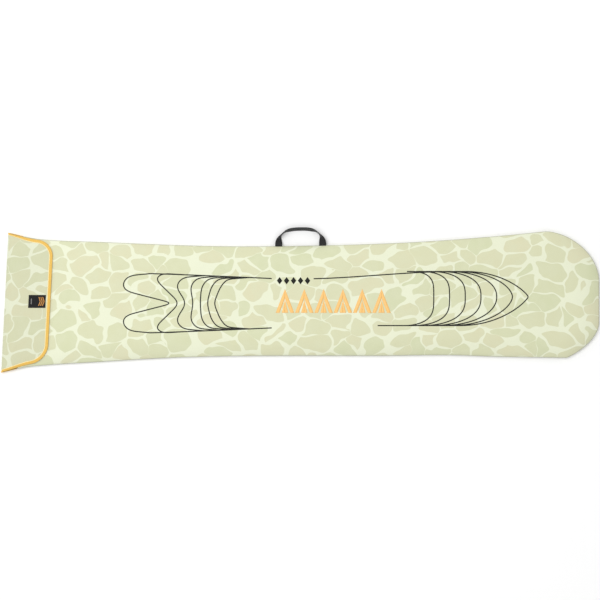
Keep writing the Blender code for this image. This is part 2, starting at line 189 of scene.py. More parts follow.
def to_seam(x, y):
    """Each point's distance from the sewn edge, and how far round the edge the nearest point of it is."""
    points = np.column_stack([np.ravel(x), np.ravel(y)])
    distance, place = np.empty(len(points)), np.empty(len(points))
    for chosen in np.array_split(np.arange(len(points)), len(points) // 500 + 1):
        away = points[chosen, None] - SEAM[None, :-1]
        share = np.clip((away * SEAM_SIDES).sum(axis=2) / SEAM_LENGTHS**2, 0.0, 1.0)
        gap = np.linalg.norm(away - share[..., None] * SEAM_SIDES, axis=2)
        nearest = gap.argmin(axis=1)
        k = np.arange(len(chosen))
        distance[chosen] = gap[k, nearest]
        place[chosen] = SEAM_WALKED[nearest] + share[k, nearest] * SEAM_LENGTHS[nearest]
    return distance.reshape(np.shape(x)), place.reshape(np.shape(x))


# ---- surfaces

def puff(distance, width):
    """From 0 at an edge to 1 at this width from it and beyond, with a full, round start."""
    t = np.clip(distance / width, 0.0, 1.0)
    return (1 - (1 - t) ** 2) ** PUFF_POWER


def crown(x):
    return MOUTH_CROWN + (CROWN - MOUTH_CROWN) * eased(x, FOLD_UPPER[0] + MOUTH, CROWN_FULL_X)


PUCKERS = ((0.5, 13.7, 0.4), (0.3, 21.3, 2.1), (0.35, 37.9, 4.4), (0.4, 88.0, 1.0))


def pucker(distance, place):
    """The small waves that stitches pull into the cloth along the seam: sines of a share, length and turn."""
    waves = sum(share * np.sin(2 * np.pi * place / (length * MM) + turn) for share, length, turn in PUCKERS)
    return 0.55 * MM * waves * np.exp(-distance / (16 * MM)) * (1 - np.exp(-distance / (2 * MM)))


def front_height(x, y):
    """The front panel's outer face, rounded down to the seam."""
    distance, place = to_seam(x, y)
    rise = FRONT_EDGE_Z + crown(x) - FRONT_RIM_Z
    return FRONT_RIM_Z + rise * puff(distance, FRONT_PUFF) + pucker(distance, place)


def back_height(x, y):
    """The back panel's outer face, which lies flat but for its rounded edges."""
    distance, _ = to_seam(x, y)
    return BACK_RIM_Z * (1 - puff(np.minimum(distance, x - fold_x(y)), BACK_PUFF))


def flap_height(x, y):
    """The shut flap's outer face, from the fold line to its place over the front panel."""
    distance, _ = to_seam(x, y)
    e = x - fold_x(y)
    front = FRONT_EDGE_Z + crown(x) * puff(distance - LIP, FRONT_PUFF)
    droop = FLAP_DROOP * eased(e, FLAP_LENGTH - 24 * MM, FLAP_LENGTH)
    return BACK_RIM_Z + (front + FLAP_RISE - droop - BACK_RIM_Z) * puff(e, FOLD_PUFF)


def flap_side(e, upper):
    """The y of the flap's side at a distance e from the fold line."""
    radius = UPPER_CORNER if upper else LOWER_CORNER
    into_corner = np.clip(e - (FLAP_LENGTH - radius), 0.0, radius)
    inset = FLAP_INSET + radius - np.sqrt(radius**2 - into_corner**2)
    if upper:
        return upper_edge(FOLD_UPPER[0] + e) - inset
    taper = FLAP_TAPER * np.clip(e / (FLAP_LENGTH - radius), 0.0, 1.0) ** 2
    return lower_edge(FOLD_LOWER[0] + e) + taper + inset


# ---- plans

def across_shares(columns, evenness=0.12):
    """Shares from 0 to 1 that lie closer together near both ends."""
    t = np.linspace(-1, 1, columns)
    return (1 + evenness * t + (1 - evenness) * np.sin(np.pi / 2 * t)) / 2


def leaned(x, y):
    """The x at y of the row that starts at x, which runs parallel to the fold line near the mouth."""
    lean = np.clip((CROWN_FULL_X - x) / LEAN_LENGTH, 0.0, 1.0)
    return x + lean * (fold_x(y) - FOLD_LOWER[0])


def body_plan(stations, shares):
    """Rows of points across the bag, one from each station, as arrays of x and y."""
    low, high = lower_edge(stations), upper_edge(stations)
    for _ in range(4):
        low, high = lower_edge(leaned(stations, low)), upper_edge(leaned(stations, high))
    y = low[:, None] + (high - low)[:, None] * shares
    return leaned(stations[:, None], y), y


def nose_stations(start, row):
    """Stations from start to the nose, closer together near the nose."""
    straight = np.arange(start, NOSE_X - NOSE_ROWS, row)
    turn = np.sin(np.pi / 2 * np.linspace(0, 1, int(1.6 * NOSE_ROWS / row)))
    return np.concatenate([straight, NOSE_X - NOSE_ROWS + NOSE_ROWS * turn])


def flap_plan(stations, shares):
    low, high = flap_side(stations, False), flap_side(stations, True)
    y = low[:, None] + (high - low)[:, None] * shares
    return fold_x(y) + stations[:, None], y


# ---- meshes

def add_object(name, vertices, faces, corner_uv, material):
    """A smooth mesh object. corner_uv holds one (u, v) in metres for each corner of each face."""
    mesh = bpy.data.meshes.new(name)
    mesh.from_pydata(vertices.tolist(), [], faces)
    mesh.uv_layers.new(name="cloth").data.foreach_set("uv", np.asarray(corner_uv, np.float32).ravel())
    mesh.materials.append(material)
    mesh.shade_smooth()
    mesh.update()
    piece = bpy.data.objects.new(name, mesh)
    bpy.context.scene.collection.objects.link(piece)
    return piece


def normals_of(points):
    """The unit normal at each point of a grid, to the left of its rows when its columns run up."""
    along, across = np.gradient(points, axis=0), np.gradient(points, axis=1)
    normal = np.cross(along, across)
    return normal / np.maximum(np.linalg.norm(normal, axis=2, keepdims=True), 1e-12)


def cloth_uv(points):
    """Each grid point's place on its cloth laid flat, so that a print doesn't stretch over a rounded edge."""
    middle = points.shape[1] // 2
    u = walked(points[:, middle])
    steps = np.linalg.norm(np.diff(points, axis=1), axis=2)
    v = np.concatenate([np.zeros((len(points), 1)), np.cumsum(steps, axis=1)], axis=1)
    v -= v[:, middle:middle + 1]
    return np.stack([np.broadcast_to(u[:, None], v.shape), v], axis=2)


def quads_of(rows, columns, wrap=False):
    """The corner numbers of a grid's faces, joined round its columns if it wraps."""
    i = np.arange(rows - 1)[:, None] * columns
    j = np.arange(columns if wrap else columns - 1)[None]
    after = (j + 1) % columns
    return np.stack([i + j, i + columns + j, i + columns + after, i + after], axis=2).reshape(-1, 4)


def sheet_piece(name, outer, thickness, material, uv=None, inner=None):
    """A closed sheet of this thickness under a grid of outer points."""
    uv = cloth_uv(outer) if uv is None else uv
    inner = outer - thickness * normals_of(outer) if inner is None else inner
    rows, columns = outer.shape[:2]
    count = rows * columns
    top = quads_of(rows, columns)
    index = np.arange(count).reshape(rows, columns)
    rim = np.concatenate([index[:-1, 0], index[-1, :-1], index[:0:-1, -1], index[0, :0:-1]])
    after = np.roll(rim, -1)
    sides = np.stack([rim, rim + count, after + count, after], axis=1)
    faces = np.concatenate([top, top[:, ::-1] + count, sides[:, ::-1]])
    vertices = np.concatenate([outer.reshape(-1, 3), inner.reshape(-1, 3)])
    flat = np.concatenate([uv.reshape(-1, 2)] * 2)
    return add_object(name, vertices, faces.tolist(), flat[faces], material)


def ring_mesh(points):
    """Vertices, faces and corner coordinates of closed rings of points, one after another."""
    rings, size = points.shape[:2]
    sides = quads_of(rings, size, wrap=True)
    ring = points[len(points) // 2]
    u, v = walked(points.mean(axis=1)), walked(np.vstack([ring, ring[:1]]))
    i, j = np.divmod(np.arange(len(sides)), size)
    corner_u = np.stack([u[i], u[i + 1], u[i + 1], u[i]], axis=1)
    corner_v = np.stack([v[j], v[j], v[j + 1], v[j + 1]], axis=1)
    uv = np.stack([corner_u, corner_v], axis=2)
    return points.reshape(-1, 3), sides, uv


def tube_piece(name, tubes, material):
    """One object of one or more tubes, each an array of rings of points."""
    vertices, faces, uvs, caps = [], [], [], []
    count = 0
    for points in map(np.asarray, tubes):
        spot, sides, uv = ring_mesh(points)
        middle = points[0].mean(axis=0)
        turn = np.cross(points[0, 0] - middle, points[0, 1] - middle)
        facing = np.dot(turn, points[1].mean(axis=0) - middle)
        if facing > 0:
            sides, uv = sides[:, ::-1], uv[:, ::-1]
        vertices.append(spot)
        faces.append(sides + count)
        uvs.append(uv)
        size = points.shape[1]
        for first, step in ((count, 1), (count + len(spot) - size, -1)):
            caps.append((first, size, step if facing < 0 else -step))
        count += len(spot)
    rings = [[first + k for k in range(size)][::step] for first, size, step in caps]
    uv = np.concatenate([np.concatenate(uvs).reshape(-1, 2), np.zeros((sum(map(len, rings)), 2))])
    return add_object(name, np.concatenate(vertices), np.concatenate(faces).tolist() + rings, uv, material)


def inward_of(path):
    """The unit direction in plan to the right of each point of a path."""
    along = np.gradient(path, axis=0)
    return unit(np.column_stack([along[:, 1], -along[:, 0]]))


def edge_rings(path, section, height, narrowing=1.0):
    """Rings of a tape folded over the edge that path follows. section holds (distance in, distance above)."""
    inward = inward_of(path) * np.reshape(narrowing, (-1, 1))
    rings = []
    for into, above in section:
        place = path + into * inward
        z = height(place[:, 0], place[:, 1]) + above
        rings.append(np.column_stack([place, z]))
    return np.stack(rings, axis=1)


def beside(along):
    """The level unit direction to the right of each unit direction, and the one above both."""
    side = unit(np.cross(along, (0.0, 0.0, 1.0)))
    return side, np.cross(side, along)


def round_rings(path, radius, count, flatten):
    """Rings of a round edge along a 3-D path."""
    side, up = beside(unit(np.gradient(path, axis=0)))
    angles = np.linspace(0, 2 * np.pi, count, endpoint=False)
    ring = radius * (np.cos(angles)[:, None, None] * side + flatten * np.sin(angles)[:, None, None] * up)
    return np.swapaxes(path + ring, 0, 1)


def stitch_piece(name, path, material, pitch=4.0 * MM, length=3.0 * MM, radius=0.32 * MM):
    """A row of stitches along a 3-D path, each a short capsule of thread whose ends dip into the cloth."""
    spots = resampled(path, pitch)
    middle, along = (spots[1:] + spots[:-1]) / 2, unit(np.diff(spots, axis=0))
    shares = np.array([-1.0, -0.86, -0.5, 0.0, 0.5, 0.86, 1.0])
    widths = np.array([0.25, 0.72, 1.0, 1.0, 1.0, 0.72, 0.25])
    dips = np.array([-1.3, -0.5, 0.1, 0.3, 0.1, -0.5, -1.3]) * radius
    angles = np.linspace(0, 2 * np.pi, 7)[:-1]
    tubes = []
    for spot, way, side, up in zip(middle, along, *beside(along)):
        ring = np.cos(angles)[:, None] * side + np.sin(angles)[:, None] * up
        tubes.append([
            spot + share * length / 2 * way + dip * up + radius * width * ring
            for share, width, dip in zip(shares, widths, dips)
        ])
    return tube_piece(name, tubes, material)


# ---- simulation

def settled(plan, height, spare, steps=18):
    """How far a cloth cut a little too large moves up or down when it settles between its sewn edges."""
    x, y = plan
    points = np.stack([x, y, height], axis=2)
    rows, columns = height.shape
    mesh = bpy.data.meshes.new("settling")
    mesh.from_pydata(points.reshape(-1, 3).tolist(), [], quads_of(rows, columns).tolist())
    cloth = bpy.data.objects.new("settling", mesh)
    bpy.context.scene.collection.objects.link(cloth)
    index = np.arange(rows * columns).reshape(rows, columns)
    pinned = cloth.vertex_groups.new(name="pinned")
    edge = np.concatenate([index[0], index[-1], index[:, 0], index[:, -1]])
    pinned.add(np.unique(edge).tolist(), 1.0, "REPLACE")
    modifier = cloth.modifiers.new("settle", "CLOTH")
    settings = modifier.settings
    settings.quality = 5
    settings.mass = 0.3
    settings.tension_stiffness = settings.compression_stiffness = 12
    settings.shear_stiffness = 5
    settings.bending_stiffness = 1.2
    settings.vertex_group_mass = "pinned"
    settings.shrink_min = -spare
    settings.effector_weights.gravity = 0
    modifier.collision_settings.use_self_collision = False
    modifier.point_cache.frame_start, modifier.point_cache.frame_end = 1, steps
    for step in range(1, steps + 1):
        bpy.context.scene.frame_set(step)
    found = cloth.evaluated_get(bpy.context.evaluated_depsgraph_get()).to_mesh()
    moved = np.empty(rows * columns * 3)
    found.vertices.foreach_get("co", moved)
    bpy.data.objects.remove(cloth)
    bpy.context.scene.frame_set(1)
    return moved.reshape(rows, columns, 3)[..., 2] - height


def carried_over(change, stations, shares, fine_stations, fine_shares):
    """A coarse grid's values on a finer grid, smoothed so that no coarse cell shows."""
    rows = np.stack([np.interp(fine_shares, shares, row) for row in change])
    fine = np.stack([np.interp(fine_stations, stations, column) for column in rows.T], axis=1)
    for _ in range(4):
        fine[1:-1] = (fine[:-2] + 2 * fine[1:-1] + fine[2:]) / 4
        fine[:, 1:-1] = (fine[:, :-2] + 2 * fine[:, 1:-1] + fine[:, 2:]) / 4
    return fine


# ---- materials

class Paint:
    """A material's nodes, with short calls that add a node and give its output."""

    def __init__(self, name, roughness, **shader):
        self.material = bpy.data.materials.new(name)
        self.material.use_nodes = True
        self.tree = self.material.node_tree
        self.shader = self.tree.nodes["Principled BSDF"]
        self.shader.inputs["Roughness"].default_value = roughness
        for socket, value in shader.items():
            self.shader.inputs[socket.replace("_", " ")].default_value = value
        self.uv = self.node("UVMap", {}, uv_map="cloth")
        parts = self.node("SeparateXYZ", {0: self.uv}, output=None)
        self.u, self.v = parts.outputs[0], parts.outputs[1]

    def node(self, kind, inputs, output=0, **settings):
        made = self.tree.nodes.new("ShaderNode" + kind)
        for key, value in settings.items():
            setattr(made, key, value)
        for key, value in inputs.items():
            if isinstance(value, bpy.types.NodeSocket):
                self.tree.links.new(value, made.inputs[key])
            else:
                made.inputs[key].default_value = value
        return made if output is None else made.outputs[output]

    def math(self, operation, *values):
        return self.node("Math", dict(enumerate(values)), operation=operation)

    def vector(self, operation, first, second):
        return self.node("VectorMath", {0: first, 1: second}, operation=operation)

    def weighted(self, first, share, second):
        """The sum of share of the first value and the rest of the second."""
        products = self.math("MULTIPLY", first, share), self.math("MULTIPLY", second, round(1 - share, 6))
        return self.math("ADD", *products)

    def worn(self, value, low, high, noise, *bounds):
        """The value eased between low and high, times a noise eased between the bounds; used as painted shade
        in the grooves of a weave, mottled at random.
        """
        return self.math("MULTIPLY", self.between(value, low, high), self.between(noise, *bounds))

    def between(self, value, low, high, out_low=0.0, out_high=1.0):
        """value eased from out_low at low to out_high at high."""
        inputs = {"Value": value, "From Min": low, "From Max": high, "To Min": out_low, "To Max": out_high}
        return self.node("MapRange", inputs, interpolation_type="SMOOTHSTEP")

    def mix(self, share, first, second):
        made = self.node("Mix", {0: share}, output=None, data_type="RGBA")
        for socket, value in ((made.inputs[6], first), (made.inputs[7], second)):
            if isinstance(value, bpy.types.NodeSocket):
                self.tree.links.new(value, socket)
            else:
                socket.default_value = (*value, 1.0)
        return made.outputs[2]

    def noise(self, scale, detail=2.0, output=0):
        return self.node("TexNoise", {"Vector": self.uv, "Scale": scale, "Detail": detail}, output=output)

    def wave(self, value, period):
        """A sine from -1 to 1 with this period."""
        return self.math("SINE", self.math("MULTIPLY", value, 2 * math.pi / period))

    def weave(self, pitch):
        """The height of a plain weave with this thread pitch."""
        return self.math("MULTIPLY", self.wave(self.u, 2 * pitch), self.wave(self.v, 2 * pitch))

    def bump(self, height, distance, strength=1.0, under=None):
        inputs = {"Height": height, "Distance": distance, "Strength": strength}
        if under:
            inputs["Normal"] = under
        return self.node("Bump", inputs)

    def done(self, colour, normal=None, roughness=None):
        for socket, value in (("Base Color", colour), ("Normal", normal), ("Roughness", roughness)):
            if value:
                self.tree.links.new(value, self.shader.inputs[socket])
        return self.material


def linear(red, green, blue):
    """An sRGB colour from 0 to 255 as a linear one."""
    values = [value / 255 for value in (red, green, blue)]
    return tuple(v / 12.92 if v <= 0.04045 else ((v + 0.055) / 1.055) ** 2.4 for v in values)


def printed_cloth(name, shade=1.0):
    """Polyester cloth with a print of rounded blobs parted by pale channels."""
    paint = Paint(name, 0.72, Sheen_Weight=0.12, Sheen_Roughness=0.45)
    place = paint.vector("MULTIPLY", paint.uv, (0.82, 1.12, 1.0))
    for scale, detail, sway in ((13.0, 0.6, 0.058), (31.0, 0.0, 0.022)):
        drift = paint.vector("SUBTRACT", paint.noise(scale, detail, output=1), (0.5, 0.5, 0.5))
        drift = paint.vector("MULTIPLY", drift, (sway, 0.9 * sway, 0.0))
        place = paint.vector("ADD", place, drift)
    cells = {"Vector": place, "Scale": 20.0, "Randomness": 0.9}
    first = paint.node("TexVoronoi", cells, output=None, feature="F1", voronoi_dimensions="2D")
    second = paint.node("TexVoronoi", cells, output=None, feature="F2", voronoi_dimensions="2D")
    gap = paint.math("SUBTRACT", second.outputs["Distance"], first.outputs["Distance"])
    width = paint.between(paint.noise(17.0, 0.5), 0.34, 0.66, 0.07, 0.25)
    far = paint.between(paint.noise(15.0, 0.0), 0.35, 0.65, 0.54, 0.74)
    reach = paint.math("SUBTRACT", far, first.outputs["Distance"])
    inside = paint.math("SMOOTH_MIN", paint.math("SUBTRACT", gap, width), reach, 0.30)
    channel = paint.between(inside, -0.080, -0.042)
    tone = paint.node("SeparateColor", {0: first.outputs["Color"]})
    dyes = ((215, 220, 181), (223, 221, 185), (221, 224, 190), (236, 240, 212))
    # shade scales every dye: the front's value is the cloth's own tone, and the lower value for the back and
    # flap is painted shade.
    green, beige, worn, pale = [tuple(shade * c for c in linear(*dye)) for dye in dyes]
    faded = paint.between(paint.noise(34.0, 2.0), 0.3, 0.7, 0.0, 0.45)
    blob = paint.mix(faded, paint.mix(tone, green, beige), worn)
    colour = paint.mix(channel, pale, blob)
    threads = paint.weave(0.45 * MM)
    shadow = paint.between(threads, -1.0, 1.0, 0.93, 1.0)
    fleck = paint.between(paint.noise(900.0, 1.0), 0.2, 0.8, 0.97, 1.02)
    colour = paint.vector("MULTIPLY", colour, paint.math("MULTIPLY", shadow, fleck))
    folds = paint.bump(paint.noise(42.0, 3.0), 0.6 * MM, 0.35)
    normal = paint.bump(threads, 0.08 * MM, 0.6, folds)
    roughness = paint.between(paint.noise(60.0, 2.0), 0.2, 0.8, 0.66, 0.8)
    return paint.done(colour, normal, roughness)


def ribbed_tape(name, colour, painted_shade_colour, painted_highlight=None):
    """A grosgrain tape, with ribs across its length and a slightly uneven dye, and painted shade in the
    grooves between its ribs; given a highlight colour, it also gets a painted highlight along its inner edge
    and painted shade where it bends round the bound edge.
    """
    paint = Paint(name, 0.62, Sheen_Weight=0.1, Sheen_Roughness=0.4, Specular_IOR_Level=0.3)
    threads = paint.weighted(paint.wave(paint.u, 1.1 * MM), 0.75, paint.wave(paint.v, 0.5 * MM))
    # Painted shade: the tape is darker in the grooves between its ribs, mottled at random.
    uneven = paint.worn(threads, -1.0, 0.6, paint.noise(90.0, 3.0), 0.1, 0.9, 0.75, 1.1)
    tint = paint.mix(uneven, painted_shade_colour, colour)
    if painted_highlight:
        # Painted highlight: a cream band along the tape's inner edge on top, where light catches its rounded
        # rise.
        tint = paint.mix(paint.between(paint.v, 1.6 * MM, 2.4 * MM), painted_highlight, tint)
        # Painted shade: a darker band where the tape bends round the bound edge.
        tint = paint.mix(paint.between(paint.v, 9.0 * MM, 10.5 * MM), tint, tuple(0.55 * c for c in painted_shade_colour))
    return paint.done(tint, paint.bump(threads, 0.18 * MM, 0.7))


def handle_cloth(name):
    """Flat nylon webbing with a herringbone weave and thicker edge cords, and painted shade in the grooves of
    its weave.
    """
    paint = Paint(name, 0.55, Sheen_Weight=0.10, Sheen_Roughness=0.35, Specular_IOR_Level=0.3)
    bend = paint.math("PINGPONG", paint.v, 2.5 * MM)
    bone = paint.wave(paint.math("ADD", paint.u, bend), 1.7 * MM)
    threads = paint.weighted(bone, 0.7, paint.wave(paint.v, 1.25 * MM))
    # Painted shade: the webbing is darker in the grooves of its weave, mottled at random.
    worn = paint.worn(threads, -0.9, 0.9, paint.noise(70.0, 3.0), 0.2, 0.8, 0.6, 1.0)
    colour = paint.mix(worn, (0.006, 0.006, 0.007), (0.030, 0.030, 0.032))
    return paint.done(colour, paint.bump(threads, 0.25 * MM, 0.8))


def lining_cloth(name):
    """Thin grey taffeta with a ripstop grid."""
    paint = Paint(name, 0.5, Sheen_Weight=0.1)
    ridges = [paint.between(paint.wave(way, 5 * MM), 0.90, 0.98) for way in (paint.u, paint.v)]
    grid = paint.math("MAXIMUM", *ridges)
    threads = paint.weave(0.3 * MM)
    cloudy = paint.between(paint.noise(35.0, 3.0), 0.3, 0.7)
    tint = paint.mix(cloudy, linear(116, 118, 112), linear(134, 136, 129))
    colour = paint.mix(grid, tint, linear(100, 102, 97))
    normal = paint.bump(grid, 0.12 * MM, 0.6, paint.bump(threads, 0.05 * MM, 0.5))
    return paint.done(colour, normal)


def foam_stuff(name):
    paint = Paint(name, 0.95)
    cells = paint.node("TexVoronoi", {"Vector": paint.uv, "Scale": 900.0}, output="Distance")
    colour = paint.mix(paint.between(cells, 0.1, 0.6), linear(236, 236, 228), linear(205, 205, 196))
    return paint.done(colour, paint.bump(cells, 0.5 * MM, 0.8))


def thread(name, colour, painted_shade_colour):
    """Twisted sewing thread, with painted shade in the grooves of its twist."""
    paint = Paint(name, 0.45, Sheen_Weight=0.2)
    twist = paint.wave(paint.math("ADD", paint.u, paint.v), 0.55 * MM)
    # Painted shade: the thread is darker in the grooves of its twist.
    tint = paint.mix(paint.between(twist, -1.0, 1.0), painted_shade_colour, colour)
    return paint.done(tint, paint.bump(twist, 0.08 * MM, 0.8))


def ink(name, colour, worn):
    """Screen-printed ink that lets the weave below show and is worn a little in places."""
    paint = Paint(name, 0.5, Specular_IOR_Level=0.25)
    threads = paint.weave(0.45 * MM)
    share = paint.between(paint.noise(240.0, 4.0), 0.45, 0.75, 0.0, 0.6)
    return paint.done(paint.mix(share, colour, worn), paint.bump(threads, 0.06 * MM, 0.6))


def label_cloth(name):
    """Black satin label with fine cross ribs, and painted shade in the grooves between them."""
    paint = Paint(name, 0.55, Sheen_Weight=0.04, Specular_IOR_Level=0.2)
    cords = paint.math("MULTIPLY", paint.wave(paint.v, 0.5 * MM), 0.7)
    ribs = paint.math("ADD", cords, paint.weave(0.3 * MM))
    # Painted shade: the label is darker in the grooves between its ribs.
    tint = paint.mix(paint.between(ribs, -1.2, 1.2), linear(12, 12, 13), linear(28, 26, 29))
    return paint.done(tint, paint.bump(ribs, 0.08 * MM, 0.7))


def floor_stuff():
    paint = Paint("studio floor", 0.9)
    noise = paint.node("TexNoise", {"Scale": 3.0})
    return paint.done(paint.mix(noise, (0.93, 0.93, 0.93), (0.96, 0.96, 0.96)))


# ---- studio

def studio():
    """A pale floor, a soft even light from above, a little stronger from the upper left, and the camera."""
    scene = bpy.context.scene
    scene.view_settings.view_transform = "Standard"
    scene.render.film_transparent = False
    world = bpy.data.worlds.new("studio")
    scene.world = world
    world.use_nodes = True
    background = world.node_tree.nodes["Background"].inputs
    background["Color"].default_value = (1.0, 1.0, 1.0, 1.0)
    background["Strength"].default_value = 0.82

    bpy.ops.mesh.primitive_plane_add(size=14.0, location=(0.0, 0.0, -0.4 * MM))
    floor = bpy.context.object
    floor.name = "studio_floor"
    floor.data.materials.append(floor_stuff())

    light = bpy.data.lights.new("softbox", "AREA")
    light.shape = "DISK"
    light.size = 2.6
    light.energy = 62.0
    lamp = bpy.data.objects.new("softbox", light)
    lamp.location = (-1.3, 0.9, 3.5)
    lamp.rotation_euler = (-lamp.location.normalized()).to_track_quat("-Z", "Y").to_euler()
    scene.collection.objects.link(lamp)

    camera = bpy.data.objects.new("camera", bpy.data.cameras.new("camera"))
    camera.data.lens = 135.0
    camera.data.sensor_width = 36.0
    camera.location = (0.0, 0.0, 6.32)
    scene.collection.objects.link(camera)
    scene.camera = camera


# ---- panels

FRONT_STATIONS = nose_stations(FOLD_LOWER[0] + MOUTH, ROW)
SHARES = across_shares(COLUMNS)
SETTLING_ROW = 12 * MM
SWELL = 2.2 * MM
FOLD_STEPS = np.array([0.15, 0.5, 1.2, 2.2, 3.6, 5.5, 8, 11, 14.5, 18.5, 23, 28, 34, 40.5]) * MM


def front_points():
    """The front panel's outer face: the CAD surface, settled as cloth over its padding."""
    stations = np.arange(FRONT_STATIONS[0], NOSE_X + 1 * MM, SETTLING_ROW)
    stations[-1] = NOSE_X
    shares = np.linspace(0, 1, 31)
    plan = body_plan(stations, shares)
    change = settled(plan, front_height(*plan), spare=0.004)
    x, y = body_plan(FRONT_STATIONS, SHARES)
    change = carried_over(change, stations, shares, FRONT_STATIONS, SHARES)
    distance, _ = to_seam(x, y)
    calm = eased(x - fold_x(y), FLAP_LENGTH - 10 * MM, FLAP_LENGTH + 90 * MM) * eased(distance, 0.0, 30 * MM)
    change = SWELL * np.tanh(change / (4.0 * MM)) * calm
    return np.stack([x, y, front_height(x, y) + np.maximum(change, -0.3 * MM)], axis=2)


def outer_points():
    """The back panel's outer face from nose to fold, and on round the fold to the flap's free edge."""
    near_fold = FOLD_LOWER[0] + np.concatenate([[0.0], FOLD_STEPS])
    stations = np.concatenate([near_fold, nose_stations(FOLD_LOWER[0] + 48 * MM, ROW)])[::-1]
    x, y = body_plan(stations, SHARES)
    back = np.stack([x, y, back_height(x, y)], axis=2)
    arc = UPPER_CORNER * np.sin(np.pi / 2 * np.linspace(0, 1, 17)[1:])
    straight = np.arange(47 * MM, FLAP_LENGTH - UPPER_CORNER, 6.5 * MM)
    stations = np.concatenate([FOLD_STEPS, straight, FLAP_LENGTH - UPPER_CORNER + arc])
    x, y = flap_plan(stations, SHARES)
    return np.vstack([back, np.stack([x, y, flap_height(x, y)], axis=2)]), len(back)


def lined(outer, foamed):
    """The lining's outer face: close to the cloth at its edges, and below the foam further in."""
    distance, _ = to_seam(outer[..., 0], outer[..., 1])
    depth = (FOAM_DEPTH - LINING_DEPTH) * eased(distance, 2 * MM, 18 * MM) * foamed
    inner = outer - LINING_DEPTH * normals_of(outer)
    inner[..., 2] -= depth * np.sign(normals_of(outer)[..., 2])
    return inner


def kept_low(points, e, most):
    """Holds the back panel's points below the blend, past the fold, so that they don't turn with the flap."""
    points[..., 2] = np.where(e > ON_FOLD, np.minimum(points[..., 2], most), points[..., 2])


def sheet_of_cloth(points):
    """Works out a grid of points laid flat; nothing uses the result."""
    flat = cloth_uv(points)


def blended(piece):
    """Bakes a piece's transform into its mesh."""
    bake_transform(piece)


def panels(cloth, back_cloth_painted_shade, lining, foam):
    """The front panel, and the one sheet of cloth that is the back panel, the fold and the flap."""
    front = front_points()
    piece = sheet_piece("front_panel_cloth", front, CLOTH, cloth)
    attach(piece, "bag")
    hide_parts("front_shell")

    outer, back_rows = outer_points()
    e = outer[..., 0] - fold_x(outer[..., 1])
    inner = outer - CLOTH * normals_of(outer)
    kept_low(inner[:back_rows], e[:back_rows], BLEND_LOW_Z)
    uv = cloth_uv(outer)
    uv[..., 0] += 0.31
    # The back and flap cloth is painted darker than the front: painted shade on the flap.
    piece = sheet_piece("back_and_flap_cloth", outer, CLOTH, back_cloth_painted_shade, uv, inner)
    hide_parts("back_shell", "flap_shell")
    sheet_of_cloth(outer)
    blended(piece)

    foamed = np.where(np.arange(len(outer))[:, None] < back_rows, eased(e, 30 * MM, 52 * MM), 0.0)
    face = lined(outer, foamed)
    kept_low(face[:back_rows], e[:back_rows], BLEND_LOW_Z - 0.3 * MM)
    reverse = face - LINING * normals_of(outer)
    kept_low(reverse[:back_rows], e[:back_rows], BLEND_LOW_Z)
    face, reverse = face[2:-1, 1:-1], reverse[2:-1, 1:-1]
    piece = sheet_piece("back_and_flap_lining", face, LINING, lining, inner=reverse)
    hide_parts("back_lining", "flap_lining")
    sheet_of_cloth(face)
    blended(piece)

    foamed = eased(front[..., 0] - fold_x(front[..., 1]), 52 * MM, 64 * MM)
    below = lined(front, foamed)[:-2, 1:-1]
    piece = sheet_piece("front_lining_cloth", below, LINING, lining)
    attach(piece, "bag")
    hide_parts("front_lining")
    sheet_of_cloth(below)

    for node, height, sign in (("front_foam", front_height, -1.0), ("back_foam", back_height, 1.0)):
        piece = foam_pad(node, height, sign, foam)
        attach(piece, "bag")
        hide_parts(node)
    return front


def foam_pad(node, height, sign, foam):
    """A sheet of foam between a panel's cloth and its lining, cut back from the seam."""
    low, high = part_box(node)
    margin, under, thick = 18 * MM, 1.5 * MM, 2.9 * MM
    stations = nose_stations(low.x, 11 * MM)
    stations = np.append(stations[stations < high.x - 1 * MM], high.x)
    shares = across_shares(33, 0.4)
    x, y = body_plan(stations, shares)
    for _ in range(14):
        distance, _ = to_seam(x, y)
        y -= np.sign(y - y.mean(axis=1, keepdims=True)) * np.maximum(margin - distance, 0.0)
    start = y[:, :1]
    y = start + (y[:, -1:] - start) * shares
    top = np.stack([x, y, height(x, y) + sign * under], axis=2)
    return sheet_piece(node + "_pad", top[::-1] if sign > 0 else top, thick, foam)


# ---- seam and bindings

BINDING = 9.2 * MM
TAPE_WALL = 0.55 * MM
BOUND_LOW, BOUND_HIGH = -1.9 * MM, 0.1 * MM


def bind_section(width, wall=TAPE_WALL):
    """A closed section of a tape folded round the bound edge, as (distance in, distance above)."""
    middle, half = (BOUND_LOW + BOUND_HIGH) / 2, (BOUND_HIGH - BOUND_LOW) / 2 + wall
    angles = np.linspace(1.35, -1.35, 9)
    turn, rim, lip, gap = 2.2 * MM, width - 0.4 * MM, 0.15 * MM, 0.02 * MM
    bend = [(0.3 * MM - half * math.cos(a) * 0.7, middle + half * math.sin(a)) for a in angles]
    over, under = BOUND_HIGH + wall, BOUND_LOW - wall
    outside = [(width, BOUND_HIGH + lip), (rim, over), (width / 2, over + 0.05 * MM), (turn, over)] + bend
    outside += [(turn, under), (width / 2, under), (rim, under), (width, BOUND_LOW - lip)]
    inside = [(width, BOUND_LOW + gap), (turn, BOUND_LOW + gap), (0.6 * MM, middle)]
    return outside + inside + [(turn, BOUND_HIGH - gap), (width, BOUND_HIGH - gap)]


